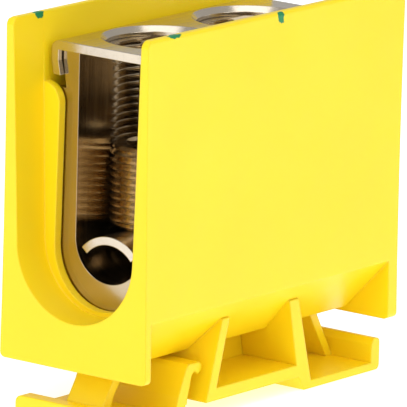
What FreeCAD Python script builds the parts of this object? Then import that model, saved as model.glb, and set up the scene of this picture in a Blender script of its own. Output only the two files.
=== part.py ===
import FreeCAD, Part
import math
import os
import Sketcher

# DIN rail terminal block: two M20 set screws in a U-shaped metal clamp body, under a sheet
# cover, in a yellow moulded housing with a clip-on foot for a 35 mm rail.
# Frame: origin at the middle of the rail seat, +X along the block towards the rigid rail
# hook, +Y across the block, +Z up. All lengths in mm.

DOC = FreeCAD.newDocument("terminal_block")
SHEET = DOC.addObject("Spreadsheet::Sheet", "sheet")

SIZES = [
    # overall block
    ("front_reach", 37.8),
    ("block_len", 82.6),
    ("top_level", 77.85),
    ("wall_level", 8.3),
    ("plate_level", 20.7),
    ("belly_level", 9.45),
    ("belly_half", 7.8),
    ("side_half_top", 18.0),
    ("side_bow_radius", 3665.0),
    ("end_flare", 0.7),
    ("end_bow_radius", 3455.0),
    ("corner_round", 1.7),
    ("wall_front", 1.75),
    ("wall_rear", 2.9),
    ("end_wall_rise", 17.0),
    ("wall_corner", 1.2),
    # trough: wide recess at both ends, close fit round the clamp between them
    ("recess_level", 32.72),
    ("recess_half", 14.78),
    ("trough_level", 32.8),
    ("trough_half", 14.2),
    ("trough_half_top", 16.3),
    ("plate_bevel", 0.45),
    # collars in front of the clamp ends
    ("collar_depth", 8.65),
    ("collar_thick", 1.9),
    ("collar_top", 63.9),
    ("collar_round", 4.4),
    ("slot_level", 31.05),
    ("slot_half", 12.1),
    ("slot_half_top", 11.65),
    # bays that core out the belly under the clamp
    ("core_wall", 2.6),
    ("core_rib", 2.6),
    ("core_end", 4.0),
    # foot
    ("foot_half", 15.0),
    ("foot_top", 16.55),
    ("seat_thick", 2.55),
    ("seat_front", -13.35),
    ("seat_rear", 16.9),
    ("rib_front_out", -8.65),
    ("rib_front_in", -6.35),
    ("rib_rear_in", 13.35),
    ("rib_rear_out", 16.3),
    ("seat_gap_front", -10.1),
    ("seat_gap_rear", 16.25),
    ("step_foot", 18.9),
    ("tray_start", 21.15),
    ("tray_drop", 3.05),
    ("tray_thick", 1.65),
    ("lip_outer", 44.15),
    ("lip_inner", 41.45),
    ("lip_level", 3.7),
    ("lip_round", 1.1),
    ("lip_bevel", 1.4),
    ("web_thick", 2.2),
    ("strut_half", 4.6),
    ("strut_head", 32.75),
    ("strut_foot", 39.85),
    ("strut_width", 2.1),
    ("flange_slot", 1.25),
    ("hook_reach", 15.3),
    ("relief_depth", 0.25),
    ("relief_gap", 0.2),
    # spring latch
    ("latch_half", 13.2),
    ("latch_bottom", -3.05),
    ("latch_floor", -1.4),
    ("tab_half", 15.0),
    ("tab_outer", -37.05),
    ("tab_thick", 3.1),
    ("tab_level", 0.9),
    ("tab_corner", 1.5),
    ("strip_half", 4.6),
    ("strip_root", -27.4),
    ("strip_width", 2.6),
    ("strip_gap", 0.12),
    ("groove_floor", -17.8),
    ("latch_reach", -15.45),
    # metal clamp body
    ("clamp_setback", 10.85),
    ("clamp_level", 32.78),
    ("clamp_half", 14.11),
    ("clamp_bore", 8.53),
    ("clamp_top", 70.4),
    ("rebate_level", 62.6),
    ("rebate_half", 12.6),
    ("dovetail_half", 11.8),
    ("dovetail_level", 68.2),
    ("thread_clear", 10.06),
    # cover plate
    ("cover_setback", 9.52),
    ("cover_half", 14.65),
    ("cover_thick", 1.9),
    ("cover_gap", 0.05),
    ("cover_bend", 1.8),
    ("flange_drop", 5.1),
    ("flange_thick", 1.78),
    ("flange_lean", 0.6),
    ("hole_radius", 11.35),
    ("hole_bevel", 1.1),
    # clamping screws, M20
    ("screw_middle", 3.25),
    ("screw_pitch_x", 29.2),
    ("screw_radius", 9.98),
    ("screw_foot", 34.0),
    ("screw_len", 16.95),
    ("screw_bevel", 1.35),
    ("socket_across", 12.0),
    ("socket_depth", 9.0),
    # arched pressure plates and their pins
    ("arch_radius", 9.27),
    ("arch_thick", 1.7),
    ("arch_half", 6.9),
    ("arch_gap", 0.4),
    ("arch_clear", 0.06),
    ("pin_radius", 2.2),
    ("pin_hole", 2.28),
    ("pin_head", 3.0),
    ("pin_head_thick", 0.9),
    ("pin_head_drop", 2.5),
    ("pin_socket", 3.4),
]

class Dim:
    """A length that carries its spreadsheet expression along with its value."""

    def __init__(self, text, value):
        self.text = text
        self.value = value

    @staticmethod
    def of(item):
        return item if isinstance(item, Dim) else Dim(repr(float(item)), float(item))

    def join(self, other, sign, value):
        return Dim("(%s %s %s)" % (self.text, sign, Dim.of(other).text), value)

    def __add__(self, other):
        return self.join(other, "+", self.value + Dim.of(other).value)

    def __sub__(self, other):
        return self.join(other, "-", self.value - Dim.of(other).value)

    def __mul__(self, other):
        return self.join(other, "*", self.value * Dim.of(other).value)

    def __truediv__(self, other):
        return self.join(other, "/", self.value / Dim.of(other).value)

    def __neg__(self):
        return Dim("(0 - %s)" % self.text, -self.value)


def fill_sheet():
    """Write every size to the sheet and hand the same sizes back as Dim values."""
    dims = {}
    for row, (name, value) in enumerate(SIZES, start=1):
        SHEET.set("A%d" % row, name)
        SHEET.set("B%d" % row, "%g" % value)
        SHEET.setAlias("B%d" % row, name)
        dims[name] = Dim("sheet." + name, value)
    DOC.recompute()
    return dims


D = fill_sheet()
FRONT = -D["front_reach"]
REAR = D["block_len"] - D["front_reach"]


def new_body(label):
    body = DOC.addObject("PartDesign::Body", label)
    body.Label = label
    return body


def origin_plane(body, role):
    for item in body.Origin.OriginFeatures:
        if item.Role == role:
            return item
    raise RuntimeError("no plane " + role)


def new_sketch(body, name, role, offset=None):
    """Sketch on an origin plane of the body, moved along the plane's normal by offset."""
    sketch = body.newObject("Sketcher::SketchObject", name)
    sketch.AttachmentSupport = [(origin_plane(body, role), "")]
    sketch.MapMode = "FlatFace"
    if offset is not None:
        shift = Dim.of(offset)
        sketch.AttachmentOffset = FreeCAD.Placement(
            FreeCAD.Vector(0, 0, shift.value), FreeCAD.Rotation())
        sketch.setExpression("AttachmentOffset.Base.z", shift.text)
    DOC.recompute()
    return sketch


def bind(sketch, kind, geo, pos, dim):
    """Fix one coordinate of a sketch point at a sheet expression."""
    index = sketch.addConstraint(
        Sketcher.Constraint(kind, -1, 1, geo, pos, dim.value))
    sketch.setExpression("Constraints[%d]" % index, dim.text)


def arc_points(start, end, centre, clockwise):
    """The arc from start to end about centre, and which end of it is the start."""
    middle = FreeCAD.Vector(centre[0].value, centre[1].value, 0)
    radius = math.hypot(start[0].value - middle.x, start[1].value - middle.y)
    angle_a = math.atan2(start[1].value - middle.y, start[0].value - middle.x)
    angle_b = math.atan2(end[1].value - middle.y, end[0].value - middle.x)
    if clockwise:
        angle_a, angle_b = angle_b, angle_a
    circle = Part.Circle(middle, FreeCAD.Vector(0, 0, 1), radius)
    return Part.ArcOfCircle(circle, angle_a, angle_b)


def draw_loop(sketch, points, arcs=None):
    """Closed loop through points; arcs maps a point index to (centre, clockwise)."""
    arcs = arcs or {}
    points = [(Dim.of(u), Dim.of(v)) for u, v in points]
    count = len(points)
    ends = []
    for i in range(count):
        start = points[i]
        end = points[(i + 1) % count]
        if i in arcs:
            centre, clockwise = arcs[i]
            centre = (Dim.of(centre[0]), Dim.of(centre[1]))
            geo = sketch.addGeometry(arc_points(start, end, centre, clockwise), False)
            ends.append((geo, 2, 1) if clockwise else (geo, 1, 2))
        else:
            line = Part.LineSegment(
                FreeCAD.Vector(start[0].value, start[1].value, 0),
                FreeCAD.Vector(end[0].value, end[1].value, 0))
            geo = sketch.addGeometry(line, False)
            ends.append((geo, 1, 2))
    for i in range(count):
        geo, first, last = ends[i]
        after, after_first, _ = ends[(i + 1) % count]
        sketch.addConstraint(
            Sketcher.Constraint("Coincident", geo, last, after, after_first))
        bind(sketch, "DistanceX", geo, first, points[i][0])
        bind(sketch, "DistanceY", geo, first, points[i][1])
        if i in arcs:
            bind_centre(sketch, geo, points[i], points[(i + 1) % count], arcs[i][0])


def bind_centre(sketch, geo, start, end, centre):
    """One coordinate of an arc centre is free once both ends are fixed; bind that one."""
    wide = abs(end[0].value - start[0].value) > abs(end[1].value - start[1].value)
    if wide:
        bind(sketch, "DistanceY", geo, 3, Dim.of(centre[1]))
    else:
        bind(sketch, "DistanceX", geo, 3, Dim.of(centre[0]))


def draw_circle(sketch, centre, radius):
    centre = (Dim.of(centre[0]), Dim.of(centre[1]))
    radius = Dim.of(radius)
    circle = Part.Circle(FreeCAD.Vector(centre[0].value, centre[1].value, 0),
                         FreeCAD.Vector(0, 0, 1), radius.value)
    geo = sketch.addGeometry(circle, False)
    bind(sketch, "DistanceX", geo, 3, centre[0])
    bind(sketch, "DistanceY", geo, 3, centre[1])
    index = sketch.addConstraint(Sketcher.Constraint("Radius", geo, radius.value))
    sketch.setExpression("Constraints[%d]" % index, radius.text)


def add_pad(body, sketch, length, midplane=False, reverse=False):
    pad = body.newObject("PartDesign::Pad", sketch.Name + "_pad")
    pad.Profile = sketch
    pad.Midplane = midplane
    pad.Reversed = reverse
    pad.setExpression("Length", Dim.of(length).text)
    sketch.Visibility = False
    DOC.recompute()
    return pad


def add_pocket(body, sketch, length, midplane=False, reverse=False):
    """Cut a pocket and stop if it took nothing away."""
    before = body.Shape.Volume
    pocket = body.newObject("PartDesign::Pocket", sketch.Name + "_pocket")
    pocket.Profile = sketch
    pocket.Midplane = midplane
    pocket.Reversed = reverse
    pocket.setExpression("Length", Dim.of(length).text)
    sketch.Visibility = False
    DOC.recompute()
    if body.Shape.Volume > before - 1e-3:
        raise RuntimeError("nothing cut by " + pocket.Name)
    return pocket


def cut_along_x(body, name, start, length, points, arcs=None):
    """Pocket with a YZ profile from x = start over the given length towards +X."""
    sketch = new_sketch(body, name, "YZ_Plane", start)
    draw_loop(sketch, points, arcs)
    return add_pocket(body, sketch, length, reverse=True)


def pad_along_x(body, name, start, length, points, arcs=None):
    sketch = new_sketch(body, name, "YZ_Plane", start)
    draw_loop(sketch, points, arcs)
    return add_pad(body, sketch, length)


def pad_across(body, name, width, points, arcs=None):
    """Pad with an XZ profile, centred on the middle plane of the block."""
    sketch = new_sketch(body, name, "XZ_Plane")
    draw_loop(sketch, points, arcs)
    return add_pad(body, sketch, width, midplane=True)


def cut_across(body, name, width, points, arcs=None):
    sketch = new_sketch(body, name, "XZ_Plane")
    draw_loop(sketch, points, arcs)
    return add_pocket(body, sketch, width, midplane=True)


def treat_edges(body, name, kind, size, test):
    """Round or bevel the edges of the body's newest feature whose middle passes the test."""
    tip = body.Tip
    names = []
    for index, edge in enumerate(tip.Shape.Edges, start=1):
        middle = edge.valueAt((edge.FirstParameter + edge.LastParameter) / 2)
        if test(edge, middle):
            names.append("Edge%d" % index)
    if not names:
        raise RuntimeError("no edge for " + name)
    feature = body.newObject("PartDesign::" + kind, name)
    feature.Base = (tip, names)
    feature.setExpression("Radius" if kind == "Fillet" else "Size", size.text)
    DOC.recompute()
    if "Invalid" in feature.State or not feature.Shape.isValid():
        raise RuntimeError("edge treatment failed: " + name)
    return feature


def near(value, target, tolerance=0.02):
    return abs(value - target) < tolerance


# ---------------------------------------------------------------- housing

def half_at(level):
    """Half width over the bowed sides of the housing at a level."""
    drop = D["top_level"] - level
    return D["side_half_top"] + drop * drop / (D["side_bow_radius"] * 2)


def reach_at(level):
    """How far an end of the housing flares out at a level above the wall foot."""
    rise = level - D["wall_level"]
    return rise * rise / (D["end_bow_radius"] * 2)


def housing_shell(body):
    """Outer form over the whole length: belly with 45 degree flanks and bowed sides."""
    low = D["plate_level"]
    side = half_at(low)
    top = D["top_level"]
    bevel = D["plate_bevel"]
    level = top - bevel
    side_top = half_at(level)
    bow = D["side_half_top"] + D["side_bow_radius"]
    start = FRONT - D["end_flare"] - 0.2
    length = D["block_len"] + D["end_flare"] * 2 + 0.4
    points = [(-D["belly_half"], D["belly_level"]), (D["belly_half"], D["belly_level"]),
              (side, low), (side_top, level), (side_top - bevel, top),
              (-side_top + bevel, top), (-side_top, level), (-side, low)]
    arcs = {2: ((bow, top), True), 6: ((-bow, top), True)}
    pad_along_x(body, "shell", start, length, points, arcs)


def trim_end(body, name, end, sign):
    """Cut one end of the shell to its gently flared outline with a round top corner."""
    top = D["top_level"]
    rnd = D["corner_round"]
    level = top - rnd
    near_top = end + reach_at(level) * sign
    outside = end + 6.0 * sign
    points = [(outside, 0.0), (end, 0.0), (end, D["wall_level"]), (near_top, level),
              (near_top - rnd * sign, top), (near_top - rnd * sign, top + 3.0),
              (outside, top + 3.0)]
    bow = end + D["end_bow_radius"] * sign
    arcs = {2: ((bow, D["wall_level"]), sign > 0),
            3: ((near_top - rnd * sign, level), sign < 0)}
    cut_across(body, name, 60.0, points, arcs)


def end_wall(body, name, start, thick):
    """Flat wall across one end, reaching a little below the belly, with round corners."""
    low = D["wall_level"]
    rnd = D["wall_corner"]
    high = D["wall_level"] + D["end_wall_rise"]
    side = half_at(low)
    side_high = half_at(high)
    points = [(-side + rnd, low), (side - rnd, low), (side, low + rnd), (side_high, high),
              (-side_high, high), (-side, low + rnd)]
    arcs = {1: ((side - rnd, low + rnd), False), 5: ((-side + rnd, low + rnd), False)}
    pad_along_x(body, name, start, thick, points, arcs)


def trough_cut(body, name, start, length, level, half):
    """Round-bottomed channel, open upwards, that widens slightly towards the top."""
    top = D["top_level"]
    wide = D["trough_half_top"]
    points = [(-half, level), (half, level), (wide, top), (-wide, top)]
    cut_along_x(body, name, start, length, points, {0: ((0.0, level), False)})


def housing_trough(body):
    """Wide recess at each end and the closer trough that holds the clamp body."""
    depth = D["collar_depth"]
    over = D["end_flare"] + 1.0
    trough_cut(body, "trough", FRONT - over, D["block_len"] + over * 2,
               D["trough_level"], D["trough_half"])
    trough_cut(body, "recess_front", FRONT - over, depth + over,
               D["recess_level"], D["recess_half"])
    trough_cut(body, "recess_rear", REAR - depth, depth + over,
               D["recess_level"], D["recess_half"])


def housing_cores(body):
    """Bays that hollow the thick belly under the clamp, parted by cross ribs."""
    wall = D["core_wall"]
    inner = D["belly_half"] - wall * 0.414
    low = D["belly_level"] + wall
    reach = D["trough_half"] - 1.8
    high = low + (reach - inner)
    level = D["trough_level"]
    points = [(-inner, low), (inner, low), (reach, high), (reach, level),
              (-reach, level), (-reach, high)]
    count = 4
    margin = D["clamp_setback"] + D["core_end"]
    bay = (D["block_len"] - margin * 2 - D["core_rib"] * (count - 1)) / count
    for i in range(count):
        start = FRONT + margin + (bay + D["core_rib"]) * i
        cut_along_x(body, "core_%d" % (i + 1), start, bay, points)


def collar(body, name, start):
    """U-shaped collar standing in the trough just in front of one end of the clamp."""
    base = D["trough_level"]
    level = D["slot_level"]
    top = D["collar_top"]
    rnd = D["collar_round"]
    outer = D["trough_half"] + 1.0
    outer_top = D["trough_half_top"] + 0.6
    slot = D["slot_half"]
    slot_top = D["slot_half_top"]
    points = [(-outer, base), (outer, base), (outer_top, top), (slot_top + rnd, top),
              (slot_top, top - rnd), (slot, level), (-slot, level), (-slot_top, top - rnd),
              (-(slot_top + rnd), top), (-outer_top, top)]
    arcs = {0: ((0.0, base), False),
            3: ((slot_top + rnd, top - rnd), False),
            5: ((0.0, level), True),
            7: ((-(slot_top + rnd), top - rnd), False)}
    pad_along_x(body, name, start, D["collar_thick"], points, arcs)


def foot_frame(body):
    """Both ribs, the rail seat between them and the tray with its end lip, in one profile."""
    top = D["foot_top"]
    seat = D["seat_thick"]
    drop = -D["tray_drop"]
    floor = drop + D["tray_thick"]
    rnd = D["lip_round"]
    bevel = D["lip_bevel"]
    outer = D["lip_outer"]
    inner = D["lip_inner"]
    lip = D["lip_level"]
    points = [(D["rib_front_out"], top), (D["seat_front"], 0.0), (D["seat_rear"], 0.0),
              (D["step_foot"], drop), (outer - rnd, drop), (outer, drop + rnd),
              (outer, lip - rnd), (outer - rnd, lip), (inner + bevel * 0.6, lip),
              (inner, lip - bevel), (inner, floor), (D["tray_start"], floor),
              (D["rib_rear_out"], top), (D["rib_rear_in"], top), (D["seat_gap_rear"], seat),
              (D["seat_gap_front"], seat), (D["rib_front_in"], top)]
    arcs = {4: ((outer - rnd, drop + rnd), False), 6: ((outer - rnd, lip - rnd), False)}
    pad_across(body, "foot", D["foot_half"] * 2, points, arcs)


def foot_strut(body):
    """Narrow sloping strut from the belly down to the root of the end lip."""
    floor = D["tray_thick"] - D["tray_drop"] - 0.3
    high = D["belly_level"] + 0.7
    width = D["strut_width"]
    points = [(D["strut_head"], high), (D["strut_foot"], floor),
              (D["strut_foot"] + width, floor), (D["strut_head"] + width * 1.1, high)]
    pad_across(body, "strut", D["strut_half"] * 2, points)


def foot_web(body):
    """Central web between the two ribs."""
    high = D["belly_level"] + 0.7
    low = D["seat_thick"] - 0.4
    points = [(D["seat_gap_front"], low), (D["seat_gap_rear"], low),
              (D["rib_rear_in"] + 1.2, high), (D["rib_front_in"] - 1.8, high)]
    pad_across(body, "web", D["web_thick"], points)


def foot_hook(body):
    """Rigid nose under the step that the fixed edge of the rail slips behind."""
    top = -D["flange_slot"]
    drop = -D["tray_drop"]
    reach = D["hook_reach"]
    points = [(reach, top), (D["seat_rear"] + 1.3, top), (D["step_foot"] + 0.5, drop),
              (reach + 1.0, drop)]
    pad_across(body, "hook", D["strut_half"] * 2, points)


def foot_relief(body):
    """Shallow relief in the rail seat over the hook, so the rail's edge beds down fully."""
    start = D["hook_reach"] - D["relief_gap"]
    depth = D["relief_depth"]
    points = [(start, -0.1), (D["seat_rear"], -0.1), (D["seat_rear"], depth), (start, depth)]
    cut_across(body, "relief", (D["strut_half"] + D["relief_gap"]) * 2, points)


def make_housing():
    body = new_body("housing")
    housing_shell(body)
    trim_end(body, "trim_front", FRONT, -1)
    trim_end(body, "trim_rear", REAR, 1)
    end_wall(body, "wall_front", FRONT, D["wall_front"])
    end_wall(body, "wall_rear", REAR - D["wall_rear"], D["wall_rear"])
    foot_frame(body)
    foot_strut(body)
    foot_web(body)
    foot_hook(body)
    foot_relief(body)
    housing_trough(body)
    collar(body, "collar_front", FRONT + D["collar_depth"])
    collar(body, "collar_rear", REAR - D["collar_depth"] - D["collar_thick"])
    housing_cores(body)
    return body


# ---------------------------------------------------------------- rail latch

def latch_leg(body):
    """Upright leg with its cane-shaped head above and the rail groove and nose below."""
    drop = D["latch_bottom"]
    groove = D["groove_floor"]
    slot = -D["flange_slot"]
    reach = D["latch_reach"]
    points = [(-17.0, 8.3), (-13.6, 8.3), (-12.85, 7.6), (-12.95, 6.7), (-13.85, 5.85),
              (-15.0, 6.65), (-16.0, 5.85), (-16.6, 3.4), (-17.2, 1.5), (-17.35, 0.1),
              (groove, 0.1), (groove, slot), (reach, slot), (reach - 1.1, drop),
              (-21.2, drop), (-20.55, 0.3), (-20.1, 2.1), (-18.65, 5.4), (-17.7, 7.5)]
    pad_across(body, "leg", D["latch_half"] * 2, points)


def latch_floor(body):
    """Flat floor that ties the leg to the release tab."""
    outer = D["tab_outer"] + 0.5
    points = [(outer, D["latch_bottom"]), (-20.9, D["latch_bottom"]),
              (-20.9, D["latch_floor"]), (outer, D["latch_floor"])]
    pad_across(body, "floor", D["latch_half"] * 2, points)


def latch_tab(body):
    """Release tab across the outer end, with round corners."""
    half = D["tab_half"]
    rnd = D["tab_corner"]
    top = D["tab_level"]
    low = D["latch_bottom"]
    points = [(-half + rnd, low), (half - rnd, low), (half, low + rnd), (half, top - rnd),
              (half - rnd, top), (-half + rnd, top), (-half, top - rnd), (-half, low + rnd)]
    arcs = {1: ((half - rnd, low + rnd), False), 3: ((half - rnd, top - rnd), False),
            5: ((-half + rnd, top - rnd), False), 7: ((-half + rnd, low + rnd), False)}
    pad_along_x(body, "tab", D["tab_outer"], D["tab_thick"], points, arcs)


def latch_strip(body):
    """Narrow spring strip that rises from the tab to the belly of the housing."""
    root = D["belly_level"] - D["strip_gap"]
    width = D["strip_width"]
    foot = D["tab_outer"] + D["tab_thick"]
    points = [(D["strip_root"], root), (-30.3, 6.05), (-32.5, 2.6), (foot, 0.3),
              (foot - 0.6, D["latch_floor"] - 0.3), (foot + width * 0.9, D["latch_floor"] - 0.3),
              (-30.2, 2.4), (-28.0, 5.6), (D["strip_root"] + width, root)]
    pad_across(body, "strip", D["strip_half"] * 2, points)


def make_latch():
    body = new_body("rail_latch")
    latch_leg(body)
    latch_floor(body)
    latch_tab(body)
    latch_strip(body)
    return body


# ---------------------------------------------------------------- metal parts

def screw_x(sign):
    """Position along the block of the front (-1) or rear (+1) screw."""
    return D["screw_middle"] + D["screw_pitch_x"] / 2 * sign


def make_clamp():
    """Thick U-shaped clamp body with rebated arm tops and the bores for both screws."""
    body = new_body("clamp_body")
    level = D["clamp_level"]
    out = D["clamp_half"]
    bore = D["clamp_bore"]
    top = D["clamp_top"]
    step = D["rebate_level"]
    neck = D["dovetail_half"]
    rebate = D["rebate_half"]
    knee = D["dovetail_level"]
    points = [(-out, level), (out, level), (out, step), (neck, step), (rebate, knee),
              (rebate, top), (bore, top), (bore, level), (-bore, level), (-bore, top),
              (-rebate, top), (-rebate, knee), (-neck, step), (-out, step)]
    arcs = {0: ((0.0, level), False), 7: ((0.0, level), True)}
    length = D["block_len"] - D["clamp_setback"] * 2
    pad_along_x(body, "channel", FRONT + D["clamp_setback"], length, points, arcs)
    sketch = new_sketch(body, "bores", "XY_Plane", top)
    for sign in (-1, 1):
        draw_circle(sketch, (screw_x(sign), 0.0), D["thread_clear"])
    add_pocket(body, sketch, top - level)
    return body


def make_cover():
    """Sheet cover with two holes; its bent flanges slide on the dovetails of the arms."""
    body = new_body("cover_plate")
    low = D["clamp_top"] + D["cover_gap"]
    top = low + D["cover_thick"]
    foot = low - D["flange_drop"]
    half = D["cover_half"]
    thick = D["flange_thick"]
    rnd = D["cover_bend"]
    lean = D["flange_lean"]
    knee = D["dovetail_level"] + 0.1
    points = [(-half + rnd, top), (-half, top - rnd), (-half, knee), (-half + lean, foot),
              (-half + lean + thick, foot), (-half + thick, knee), (-half + thick, low),
              (half - thick, low), (half - thick, knee), (half - lean - thick, foot),
              (half - lean, foot), (half, knee), (half, top - rnd), (half - rnd, top)]
    arcs = {0: ((-half + rnd, top - rnd), False), 12: ((half - rnd, top - rnd), False)}
    length = D["block_len"] - D["cover_setback"] * 2
    pad_along_x(body, "sheet_metal", FRONT + D["cover_setback"], length, points, arcs)
    sketch = new_sketch(body, "holes", "XY_Plane", top)
    for sign in (-1, 1):
        draw_circle(sketch, (screw_x(sign), 0.0), D["hole_radius"])
    add_pocket(body, sketch, D["cover_thick"] + 1.0)
    treat_edges(body, "hole_edges", "Chamfer", D["hole_bevel"],
                lambda edge, mid: len(edge.Vertexes) == 1 and near(mid.z, top.value))
    return body


def make_screw(label, sign):
    """Set screw: bevelled ends, hexagon socket above, blind hole for its pin below."""
    body = new_body(label)
    x = screw_x(sign)
    low = D["screw_foot"]
    high = low + D["screw_len"]
    shank = new_sketch(body, label + "_round", "XY_Plane", low)
    draw_circle(shank, (x, 0.0), D["screw_radius"])
    add_pad(body, shank, D["screw_len"])
    treat_edges(body, label + "_ends", "Chamfer", D["screw_bevel"],
                lambda edge, mid: len(edge.Vertexes) == 1)
    hexagon = new_sketch(body, label + "_hexagon", "XY_Plane", high)
    reach = D["socket_across"] / (2 * math.cos(math.pi / 6))
    corners = [(x + reach * math.cos(math.pi / 3 * i), reach * math.sin(math.pi / 3 * i))
               for i in range(6)]
    draw_loop(hexagon, corners)
    add_pocket(body, hexagon, D["socket_depth"])
    hole = new_sketch(body, label + "_hole", "XY_Plane", low)
    draw_circle(hole, (x, 0.0), D["pin_radius"])
    add_pocket(body, hole, D["pin_socket"], reverse=True)
    return body


def make_pressure_plate(label, sign):
    """Arched plate under one screw, with a running hole for the pin in its crown."""
    body = new_body(label)
    outer = D["arch_radius"]
    inner = outer - D["arch_thick"]
    crown = D["screw_foot"] - D["arch_clear"]
    centre = crown - outer
    angle = math.asin(D["arch_half"].value / outer.value)
    sine, cosine = math.sin(angle), math.cos(angle)
    points = [(-(outer * sine), centre + outer * cosine),
              (-(inner * sine), centre + inner * cosine),
              (inner * sine, centre + inner * cosine),
              (outer * sine, centre + outer * cosine)]
    arcs = {1: ((0.0, centre), True), 3: ((0.0, centre), False)}
    clamp_front = FRONT + D["clamp_setback"]
    length = (D["block_len"] - D["clamp_setback"] * 2 - D["arch_gap"]) / 2
    start = clamp_front if sign < 0 else clamp_front + length + D["arch_gap"]
    pad_along_x(body, label + "_arch", start, length, points, arcs)
    hole = new_sketch(body, label + "_hole", "XY_Plane", crown)
    draw_circle(hole, (screw_x(sign), 0.0), D["pin_hole"])
    add_pocket(body, hole, 4.0)
    return body


def make_pin(label, sign):
    """Headed pin pressed into the screw; the pressure plate turns freely on it."""
    body = new_body(label)
    x = screw_x(sign)
    head_top = D["screw_foot"] - D["pin_head_drop"]
    shank = new_sketch(body, label + "_shank", "XY_Plane", head_top - 0.2)
    draw_circle(shank, (x, 0.0), D["pin_radius"])
    add_pad(body, shank, D["pin_socket"] + D["pin_head_drop"])
    head = new_sketch(body, label + "_head", "XY_Plane", head_top)
    draw_circle(head, (x, 0.0), D["pin_head"])
    add_pad(body, head, D["pin_head_thick"], reverse=True)
    return body


def check_and_write(bodies):
    DOC.recompute()
    for item in DOC.Objects:
        if "Invalid" in item.State or "Error" in item.State:
            raise RuntimeError("bad object " + item.Name)
    os.makedirs("parts", exist_ok=True)
    for body in bodies:
        shape = body.Shape
        if shape.isNull() or not shape.isValid() or len(shape.Solids) != 1:
            raise RuntimeError("bad shape %s %d" % (body.Label, len(shape.Solids)))
        shape.exportStep("parts/%s.step" % body.Label)
        box = shape.BoundBox
        print("%-22s %9.1f mm3  x %.2f..%.2f  y %.2f..%.2f  z %.2f..%.2f" % (
            body.Label, shape.Volume, box.XMin, box.XMax, box.YMin, box.YMax,
            box.ZMin, box.ZMax))


SIDES = (("front", -1), ("rear", 1))
PARTS = [make_housing(), make_latch(), make_clamp(), make_cover()]
for side, sign in SIDES:
    PARTS.append(make_screw("clamp_screw_" + side, sign))
    PARTS.append(make_pressure_plate("pressure_plate_" + side, sign))
    PARTS.append(make_pin("swivel_pin_" + side, sign))
check_and_write(PARTS)
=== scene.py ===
import math

import bmesh
import bpy
from mathutils import Matrix, Vector


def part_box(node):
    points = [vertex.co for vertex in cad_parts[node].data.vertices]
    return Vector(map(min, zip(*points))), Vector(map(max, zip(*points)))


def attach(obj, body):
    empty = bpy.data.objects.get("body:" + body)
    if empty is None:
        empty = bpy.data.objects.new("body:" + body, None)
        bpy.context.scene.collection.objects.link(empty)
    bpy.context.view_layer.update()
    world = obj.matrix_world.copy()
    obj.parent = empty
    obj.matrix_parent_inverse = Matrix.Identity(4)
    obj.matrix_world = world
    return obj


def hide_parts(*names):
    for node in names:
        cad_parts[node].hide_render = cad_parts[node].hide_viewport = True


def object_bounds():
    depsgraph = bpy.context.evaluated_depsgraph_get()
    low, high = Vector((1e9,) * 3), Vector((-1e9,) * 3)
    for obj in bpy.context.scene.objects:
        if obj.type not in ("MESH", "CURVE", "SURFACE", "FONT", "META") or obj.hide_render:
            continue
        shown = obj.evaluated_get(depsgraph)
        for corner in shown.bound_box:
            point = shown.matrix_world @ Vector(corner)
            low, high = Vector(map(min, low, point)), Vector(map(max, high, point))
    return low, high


MM = 0.001

# Camera: where the photograph was taken from, in the frame of the part.
CAM_AZIMUTH = -51.912
CAM_ELEVATION = 12.418
CAM_ROLL = 1.416
CAM_DISTANCE = 1594.8 * MM
CAM_TARGET = Vector((-0.306, 0.0, 41.611)) * MM
CAM_LENS = 699.1
CAM_SENSOR = 36.0
CAM_SHIFT = (0.02585, -0.0598)

# Screw threads, M20 x 1.5, right-hand.
PITCH = 1.5 * MM
CREST = 9.96 * MM
ROOT = 9.08 * MM
THREAD_PLAY = 0.08 * MM
THREAD_FLAT = 0.14
THREAD_FOOT = 32.0 * MM
TURN_STEPS = 72
ROWS_PER_PITCH = 6
BLANK_PLAY = 0.02 * MM
OVERRUN = 1.0 * MM

# Hexagon socket, its funnel mouth, the screw's end bevel and the bore for the swivel pin.
SOCKET_REACH = 12.0 * MM / math.sqrt(3.0)
SOCKET_DEPTH = 9.0 * MM
FUNNEL_SHARE = 0.86
FUNNEL_DEPTH = 0.6 * MM
FUNNEL_LIP = 0.1 * MM
SCREW_BEVEL = 1.35 * MM
PIN_BORE = 2.2 * MM
PIN_BORE_DEPTH = 3.4 * MM
PIN_STEPS = 48

# Clamp body profile: channel, rebate and dovetail.
CHANNEL_HALF = 8.53 * MM
REBATE_LEVEL = 62.6 * MM
REBATE_HALF = 12.6 * MM
DOVETAIL_HALF = 11.8 * MM
DOVETAIL_LEVEL = 68.2 * MM
BEND_STEPS = 64

SHARP_ANGLE = math.radians(24.0)
MERGE_DISTANCE = 1e-6

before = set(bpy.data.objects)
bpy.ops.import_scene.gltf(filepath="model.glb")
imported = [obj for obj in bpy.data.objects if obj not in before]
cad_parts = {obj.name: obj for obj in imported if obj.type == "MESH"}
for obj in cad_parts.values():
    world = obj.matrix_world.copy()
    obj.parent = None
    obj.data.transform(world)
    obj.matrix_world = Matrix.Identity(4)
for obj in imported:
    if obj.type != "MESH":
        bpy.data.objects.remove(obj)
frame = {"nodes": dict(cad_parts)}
CAD_BOX = [list(corner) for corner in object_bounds()]


# ---------------------------------------------------------------- mesh helpers

def new_object(name, mesh):
    item = bpy.data.objects.new(name, mesh)
    bpy.context.scene.collection.objects.link(item)
    return item


def mesh_from(name, verts, faces):
    mesh = bpy.data.meshes.new(name)
    mesh.from_pydata(verts, [], faces)
    mesh.validate()
    work = bmesh.new()
    work.from_mesh(mesh)
    bmesh.ops.recalc_face_normals(work, faces=work.faces)
    work.to_mesh(mesh)
    work.free()
    return new_object(name, mesh)


def bake(item):
    """Turn the object's modifiers into plain mesh."""
    graph = bpy.context.evaluated_depsgraph_get()
    mesh = bpy.data.meshes.new_from_object(item.evaluated_get(graph))
    item.modifiers.clear()
    item.data = mesh


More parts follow.
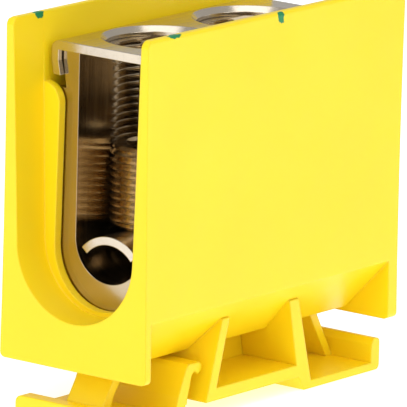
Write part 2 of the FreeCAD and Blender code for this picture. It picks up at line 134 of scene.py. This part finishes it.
def boolean(item, tool, operation):
    """Combine item with tool exactly, then throw the tool away."""
    change = item.modifiers.new("cut", "BOOLEAN")
    change.operation = operation
    change.solver = "EXACT"
    change.object = tool
    bake(item)
    bpy.data.objects.remove(tool)


def smooth(item):
    """Shade smoothly, and keep edges sharp where the surface turns by more than a little."""
    item.data.shade_smooth()
    item.data.set_sharp_from_angle(angle=SHARP_ANGLE)


def tidy(item):
    """Merge doubled points and drop faces without area."""
    work = bmesh.new()
    work.from_mesh(item.data)
    bmesh.ops.remove_doubles(work, verts=work.verts, dist=MERGE_DISTANCE)
    bmesh.ops.dissolve_degenerate(work, edges=work.edges, dist=MERGE_DISTANCE)
    work.to_mesh(item.data)
    work.free()


def thread_radius(phase, crest, root):
    """Radius of a 60 degree thread at a phase of one pitch, with flat crest and root."""
    ramp = 0.5 - THREAD_FLAT
    away = abs(phase - 0.5) * 2.0
    share = min(max((away - THREAD_FLAT) / (2.0 * ramp), 0.0), 1.0)
    return root + (crest - root) * share


def helix_solid(name, centre, low, high, crest, root):
    """Closed right-hand threaded rod standing on centre, from about low to about high."""
    rows = int(math.ceil((high - low) / PITCH)) * ROWS_PER_PITCH + ROWS_PER_PITCH
    verts = []
    for row in range(rows + 1):
        radius = thread_radius((row % ROWS_PER_PITCH) / ROWS_PER_PITCH, crest, root)
        for step in range(TURN_STEPS):
            angle = 2.0 * math.pi * step / TURN_STEPS
            level = low + PITCH * (row / ROWS_PER_PITCH + step / TURN_STEPS)
            verts.append((centre[0] + radius * math.cos(angle),
                          centre[1] + radius * math.sin(angle), level))
    faces = []
    for row in range(rows):
        for step in range(TURN_STEPS - 1):
            a = row * TURN_STEPS + step
            faces.append((a, a + 1, a + 1 + TURN_STEPS, a + TURN_STEPS))
        if row + 1 + ROWS_PER_PITCH <= rows:
            a = row * TURN_STEPS + TURN_STEPS - 1
            b = (row + ROWS_PER_PITCH) * TURN_STEPS
            faces.append((a, b, b + TURN_STEPS, a + TURN_STEPS))
    bottom = list(range(TURN_STEPS))
    bottom += [row * TURN_STEPS for row in range(ROWS_PER_PITCH, 0, -1)]
    top = [rows * TURN_STEPS + step for step in range(TURN_STEPS)]
    top += [(rows - back) * TURN_STEPS + TURN_STEPS - 1 for back in range(1, ROWS_PER_PITCH + 1)]
    for loop, level in ((bottom, low), (top, low + PITCH * (rows / ROWS_PER_PITCH + 0.5))):
        hub = len(verts)
        verts.append((centre[0], centre[1], level))
        for i, point in enumerate(loop):
            faces.append((point, loop[(i + 1) % len(loop)], hub))
    return mesh_from(name, verts, faces)


def lathe(name, centre, outline, steps=TURN_STEPS):
    """Solid of revolution about the upright axis through centre; outline is (radius, level)."""
    verts = []
    for radius, level in outline:
        for step in range(steps):
            angle = 2.0 * math.pi * step / steps
            verts.append((centre[0] + radius * math.cos(angle),
                          centre[1] + radius * math.sin(angle), level))
    faces = [tuple(range(steps))]
    for ring in range(len(outline) - 1):
        for step in range(steps):
            a = ring * steps + step
            b = ring * steps + (step + 1) % steps
            faces.append((a, b, b + steps, a + steps))
    faces.append(tuple(range((len(outline) - 1) * steps, len(outline) * steps)))
    return mesh_from(name, verts, faces)


def prism(name, centre, reach, sides, low, high):
    """Upright prism with regular sides."""
    outline = [(centre[0] + reach * math.cos(2 * math.pi * i / sides),
                centre[1] + reach * math.sin(2 * math.pi * i / sides)) for i in range(sides)]
    verts = [(x, y, low) for x, y in outline] + [(x, y, high) for x, y in outline]
    faces = [tuple(range(sides)), tuple(range(sides, 2 * sides))]
    for i in range(sides):
        j = (i + 1) % sides
        faces.append((i, j, j + sides, i + sides))
    return mesh_from(name, verts, faces)


def extrude_x(name, outline, start, end):
    """Closed solid with a YZ outline between two stations along X."""
    count = len(outline)
    verts = [(start, y, z) for y, z in outline] + [(end, y, z) for y, z in outline]
    faces = [tuple(range(count)), tuple(range(count, 2 * count))]
    for i in range(count):
        j = (i + 1) % count
        faces.append((i, j, j + count, i + count))
    return mesh_from(name, verts, faces)


def arc(centre, radius, first, last, steps):
    points = []
    for i in range(steps + 1):
        angle = math.radians(first + (last - first) * i / steps)
        points.append((centre[0] + radius * math.cos(angle), centre[1] + radius * math.sin(angle)))
    return points


# ---------------------------------------------------------------- materials

class Nodes:
    """Small helper to wire a material's nodes."""

    def __init__(self, name):
        self.material = bpy.data.materials.new(name)
        self.material.use_nodes = True
        self.tree = self.material.node_tree
        self.shader = self.tree.nodes["Principled BSDF"]
        self.place = self.add("ShaderNodeTexCoord").outputs["Object"]

    def add(self, kind, **values):
        node = self.tree.nodes.new(kind)
        for key, value in values.items():
            setattr(node, key, value)
        return node

    def link(self, source, target):
        self.tree.links.new(source, target)

    def noise(self, scale, detail=3.0, stretch=(1.0, 1.0, 1.0), rough=0.5):
        mapping = self.add("ShaderNodeMapping")
        mapping.inputs["Scale"].default_value = stretch
        self.link(self.place, mapping.inputs["Vector"])
        node = self.add("ShaderNodeTexNoise")
        node.inputs["Scale"].default_value = scale
        node.inputs["Detail"].default_value = detail
        node.inputs["Roughness"].default_value = rough
        self.link(mapping.outputs["Vector"], node.inputs["Vector"])
        return node.outputs["Fac"]

    def span(self, source, low, high, start=0.3, end=0.7):
        node = self.add("ShaderNodeMapRange")
        node.inputs["From Min"].default_value = start
        node.inputs["From Max"].default_value = end
        node.inputs["To Min"].default_value = low
        node.inputs["To Max"].default_value = high
        self.link(source, node.inputs["Value"])
        return node.outputs["Result"]

    def mix(self, factor, first, second):
        node = self.add("ShaderNodeMix", data_type="RGBA")
        self.link(factor, node.inputs["Factor"])
        for socket, value in ((node.inputs[6], first), (node.inputs[7], second)):
            if hasattr(value, "links"):
                self.link(value, socket)
            else:
                socket.default_value = (*value, 1.0)
        return node.outputs[2]

    def math(self, operation, first, second):
        node = self.add("ShaderNodeMath", operation=operation)
        for socket, value in zip(node.inputs, (first, second)):
            if hasattr(value, "links"):
                self.link(value, socket)
            else:
                socket.default_value = value
        return node.outputs["Value"]

    def bump(self, height, strength, distance, normal=None):
        node = self.add("ShaderNodeBump")
        node.inputs["Strength"].default_value = strength
        node.inputs["Distance"].default_value = distance
        self.link(height, node.inputs["Height"])
        if normal is not None:
            self.link(normal, node.inputs["Normal"])
        return node.outputs["Normal"]

    def rounded(self, radius):
        node = self.add("ShaderNodeBevel")
        node.samples = 6
        node.inputs["Radius"].default_value = radius
        return node.outputs["Normal"]


PLASTIC_DEEP = (0.94, 0.685, 0.005)
PLASTIC_BRIGHT = (0.96, 0.715, 0.008)
PAINT = (0.004, 0.22, 0.075)
# Paint dabs across the upper edges: middle and half size, in metres.
DABS = (
    ((-29.6, -17.4, 77.9), (1.9, 1.0, 0.75)),
    ((4.1, -18.1, 77.2), (1.05, 0.9, 1.7)),
    ((-30.4, 16.6, 77.5), (1.4, 0.9, 1.1)),
)


def dab_mask(nodes):
    """1 inside the painted dabs, with a slightly ragged edge."""
    ragged = nodes.span(nodes.noise(900.0, 2.0), -0.22, 0.22, 0.3, 0.7)
    total = None
    for middle, half in DABS:
        mapping = nodes.add("ShaderNodeMapping", vector_type="TEXTURE")
        mapping.inputs["Location"].default_value = [v * MM for v in middle]
        mapping.inputs["Scale"].default_value = [v * MM for v in half]
        nodes.link(nodes.place, mapping.inputs["Vector"])
        length = nodes.add("ShaderNodeVectorMath", operation="LENGTH")
        nodes.link(mapping.outputs["Vector"], length.inputs[0])
        reach = nodes.math("ADD", length.outputs["Value"], ragged)
        inside = nodes.span(reach, 1.0, 0.0, 0.94, 1.06)
        total = inside if total is None else nodes.math("MAXIMUM", total, inside)
    return total


def plastic(name, dabs=False):
    """Satin moulded polyamide, slightly translucent, with a faint mould grain."""
    nodes = Nodes(name)
    shader = nodes.shader
    colour = nodes.mix(nodes.span(nodes.noise(38.0, 2.0), 0.0, 1.0), PLASTIC_DEEP, PLASTIC_BRIGHT)
    rough = nodes.span(nodes.noise(160.0, 4.0), 0.33, 0.43)
    grain = nodes.noise(2600.0, 2.0)
    normal = nodes.bump(grain, 0.10, 0.02 * MM, nodes.rounded(0.5 * MM))
    if dabs:
        mask = dab_mask(nodes)
        colour = nodes.mix(mask, colour, PAINT)
        normal = nodes.bump(mask, 0.5, 0.08 * MM, normal)
    nodes.link(colour, shader.inputs["Base Color"])
    nodes.link(rough, shader.inputs["Roughness"])
    nodes.link(normal, shader.inputs["Normal"])
    shader.inputs["Subsurface Weight"].default_value = 0.12
    shader.inputs["Subsurface Radius"].default_value = (1.0, 0.45, 0.05)
    shader.inputs["Subsurface Scale"].default_value = 2.2 * MM
    shader.inputs["Specular IOR Level"].default_value = 0.45
    return nodes.material


def plated(name, base, low, high, stretch, edge=0.0):
    """Bright nickel plating with fine drawn or turned marks along one direction."""
    nodes = Nodes(name)
    shader = nodes.shader
    cloud = nodes.noise(70.0, 4.0)
    darker = tuple(v * 0.84 for v in base)
    colour = nodes.mix(nodes.span(cloud, 0.0, 1.0), darker, base)
    marks = nodes.noise(1400.0, 3.0, stretch)
    rough = nodes.span(marks, low, high)
    around = nodes.rounded(edge) if edge else None
    normal = nodes.bump(marks, 0.07, 0.02 * MM, around)
    nodes.link(colour, shader.inputs["Base Color"])
    nodes.link(rough, shader.inputs["Roughness"])
    nodes.link(normal, shader.inputs["Normal"])
    shader.inputs["Metallic"].default_value = 1.0
    return nodes.material


def paint_object(item, material):
    item.data.materials.clear()
    item.data.materials.append(material)


# ---------------------------------------------------------------- metal pieces

def screw_axis(node):
    """Centre of a screw in plan, with its lower and upper level."""
    low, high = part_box(node)
    return ((low[0] + high[0]) / 2, (low[1] + high[1]) / 2, low[2], high[2])


def build_screw(name, node, body):
    """Threaded set screw with bevelled ends and a hexagon socket."""
    x, y, low, high = screw_axis(node)
    screw = helix_solid(name, (x, y), THREAD_FOOT, high + PITCH, CREST, ROOT)
    inner = CREST - SCREW_BEVEL
    outline = [(inner, low), (CREST + BLANK_PLAY, low + SCREW_BEVEL),
               (CREST + BLANK_PLAY, high - SCREW_BEVEL), (inner, high)]
    boolean(screw, lathe("blank", (x, y), outline), "INTERSECT")
    neck = SOCKET_REACH * FUNNEL_SHARE
    funnel = [(neck, high - SOCKET_DEPTH), (neck, high - FUNNEL_DEPTH),
              (SOCKET_REACH + FUNNEL_LIP, high + FUNNEL_LIP)]
    boolean(screw, lathe("mouth", (x, y), funnel), "DIFFERENCE")
    hexagon = prism("hexagon", (x, y), SOCKET_REACH, 6, high - SOCKET_DEPTH, high + OVERRUN)
    boolean(screw, hexagon, "DIFFERENCE")
    pin_bore = [(PIN_BORE, low - OVERRUN), (PIN_BORE, low + PIN_BORE_DEPTH)]
    boolean(screw, lathe("pin_hole", (x, y), pin_bore, PIN_STEPS), "DIFFERENCE")
    tidy(screw)
    smooth(screw)
    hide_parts(node)
    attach(screw, body)
    return screw


def clamp_outline():
    """YZ outline of the clamp body: round bottom, rebated and dovetailed arm tops."""
    low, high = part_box("clamp_body")
    half = high[1]
    level = low[2] + half
    top = high[2]
    outer = arc((0.0, level), half, 180.0, 360.0, BEND_STEPS)
    inner = arc((0.0, level), CHANNEL_HALF, 360.0, 180.0, BEND_STEPS)
    right = [(half, REBATE_LEVEL), (DOVETAIL_HALF, REBATE_LEVEL),
             (REBATE_HALF, DOVETAIL_LEVEL), (REBATE_HALF, top), (CHANNEL_HALF, top)]
    left = [(-y, z) for y, z in reversed(right)]
    return outer + right + inner + left


def build_clamp():
    """Clamp body with a real right-hand thread cut into the inner faces of its arms."""
    low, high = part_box("clamp_body")
    clamp = extrude_x("clamp_threaded", clamp_outline(), low[0], high[0])
    for side in ("front", "rear"):
        centre = screw_axis("clamp_screw_" + side)[:2]
        crest, root = CREST + THREAD_PLAY, ROOT + THREAD_PLAY
        cutter = helix_solid("tap", centre, THREAD_FOOT, high[2] + 2 * OVERRUN, crest, root)
        boolean(clamp, cutter, "DIFFERENCE")
    tidy(clamp)
    smooth(clamp)
    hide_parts("clamp_body")
    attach(clamp, "block")
    return clamp


# ---------------------------------------------------------------- dressing the object

# The clamp body's nickel has a darker base colour than the sheet and the screws. This is painted
# shade, to darken the inside of its channel.
nickel_darkened_as_shade = plated("nickel_body_painted_shade", (0.52, 0.42, 0.28), 0.14, 0.22, (1.0, 0.05, 0.05), 0.2 * MM)
sheet = plated("nickel_sheet", (0.66, 0.58, 0.47), 0.16, 0.26, (0.06, 1.0, 1.0), 0.25 * MM)
turned = plated("nickel_screw", (0.64, 0.50, 0.31), 0.16, 0.26, (0.2, 0.2, 3.0))

nodes = frame["nodes"]
paint_object(nodes["housing"], plastic("yellow_housing", dabs=True))
paint_object(nodes["rail_latch"], plastic("yellow_latch"))
paint_object(nodes["cover_plate"], sheet)
for side in ("front", "rear"):
    paint_object(nodes["pressure_plate_" + side], sheet)
    paint_object(nodes["swivel_pin_" + side], turned)
    screw = build_screw("screw_%s_threaded" % side, "clamp_screw_" + side, "screw_" + side)
    paint_object(screw, turned)
paint_object(build_clamp(), nickel_darkened_as_shade)


# ---------------------------------------------------------------- studio

# Soft lights: name, azimuth, elevation, distance, size and power.
LIGHTS = (
    ("key", -75.0, 38.0, 1.2, (0.9, 0.9), 5.2),
    ("side", -8.0, 30.0, 1.3, (0.9, 0.7), 3.2),
    ("top", -40.0, 80.0, 1.1, (0.8, 0.8), 3.0),
)
WORLD_STRENGTH = 0.52
FLOOR_HALF = 3.0
FLOOR_GAP = 0.05 * MM


def build_floor():
    level = CAD_BOX[0][2] - FLOOR_GAP
    corners = [(-FLOOR_HALF, -FLOOR_HALF, level), (FLOOR_HALF, -FLOOR_HALF, level),
               (FLOOR_HALF, FLOOR_HALF, level), (-FLOOR_HALF, FLOOR_HALF, level)]
    floor = mesh_from("floor", corners, [(0, 1, 2, 3)])
    floor_nodes = Nodes("pale_floor")
    tone = floor_nodes.span(floor_nodes.noise(3.0, 2.0), 0.90, 0.93)
    colour = floor_nodes.add("ShaderNodeCombineColor")
    for channel in ("Red", "Green", "Blue"):
        floor_nodes.link(tone, colour.inputs[channel])
    floor_nodes.link(colour.outputs["Color"], floor_nodes.shader.inputs["Base Color"])
    floor_nodes.shader.inputs["Roughness"].default_value = 0.9
    floor_nodes.shader.inputs["Specular IOR Level"].default_value = 0.1
    floor_nodes.shader.inputs["Emission Color"].default_value = (1.0, 1.0, 1.0, 1.0)
    floor_nodes.shader.inputs["Emission Strength"].default_value = 0.55
    floor.data.materials.append(floor_nodes.material)


def area_light(name, azimuth, elevation, distance, size, power):
    light = bpy.data.lights.new(name, "AREA")
    light.shape = "RECTANGLE"
    light.size, light.size_y = size
    light.energy = power
    item = bpy.data.objects.new(name, light)
    bpy.context.scene.collection.objects.link(item)
    a, e = math.radians(azimuth), math.radians(elevation)
    away = Vector((math.sin(a) * math.cos(e), -math.cos(a) * math.cos(e), math.sin(e)))
    item.location = CAM_TARGET + away * distance
    item.rotation_euler = away.to_track_quat("Z", "Y").to_euler()
    return item


def build_world(strength):
    world = bpy.data.worlds.new("studio")
    bpy.context.scene.world = world
    world.use_nodes = True
    backdrop = world.node_tree.nodes["Background"]
    backdrop.inputs["Color"].default_value = (1.0, 1.0, 1.0, 1.0)
    backdrop.inputs["Strength"].default_value = strength


def build_camera():
    a, e, roll = (math.radians(v) for v in (CAM_AZIMUTH, CAM_ELEVATION, CAM_ROLL))
    back = Vector((math.sin(a) * math.cos(e), -math.cos(a) * math.cos(e), math.sin(e)))
    right = Vector((0.0, 0.0, 1.0)).cross(back).normalized()
    up = back.cross(right)
    turned_right = right * math.cos(roll) + up * math.sin(roll)
    turned_up = up * math.cos(roll) - right * math.sin(roll)
    data = bpy.data.cameras.new("camera")
    data.lens = CAM_LENS
    data.sensor_width = CAM_SENSOR
    data.sensor_fit = "HORIZONTAL"
    data.shift_x, data.shift_y = CAM_SHIFT
    data.clip_end = 20.0
    camera = bpy.data.objects.new("camera", data)
    bpy.context.scene.collection.objects.link(camera)
    matrix = Matrix((turned_right, turned_up, back)).transposed().to_4x4()
    matrix.translation = CAM_TARGET + back * CAM_DISTANCE
    camera.matrix_world = matrix
    bpy.context.scene.camera = camera


build_floor()
build_world(WORLD_STRENGTH)
for light in LIGHTS:
    area_light(*light)
build_camera()
bpy.context.scene.view_settings.view_transform = "Standard"
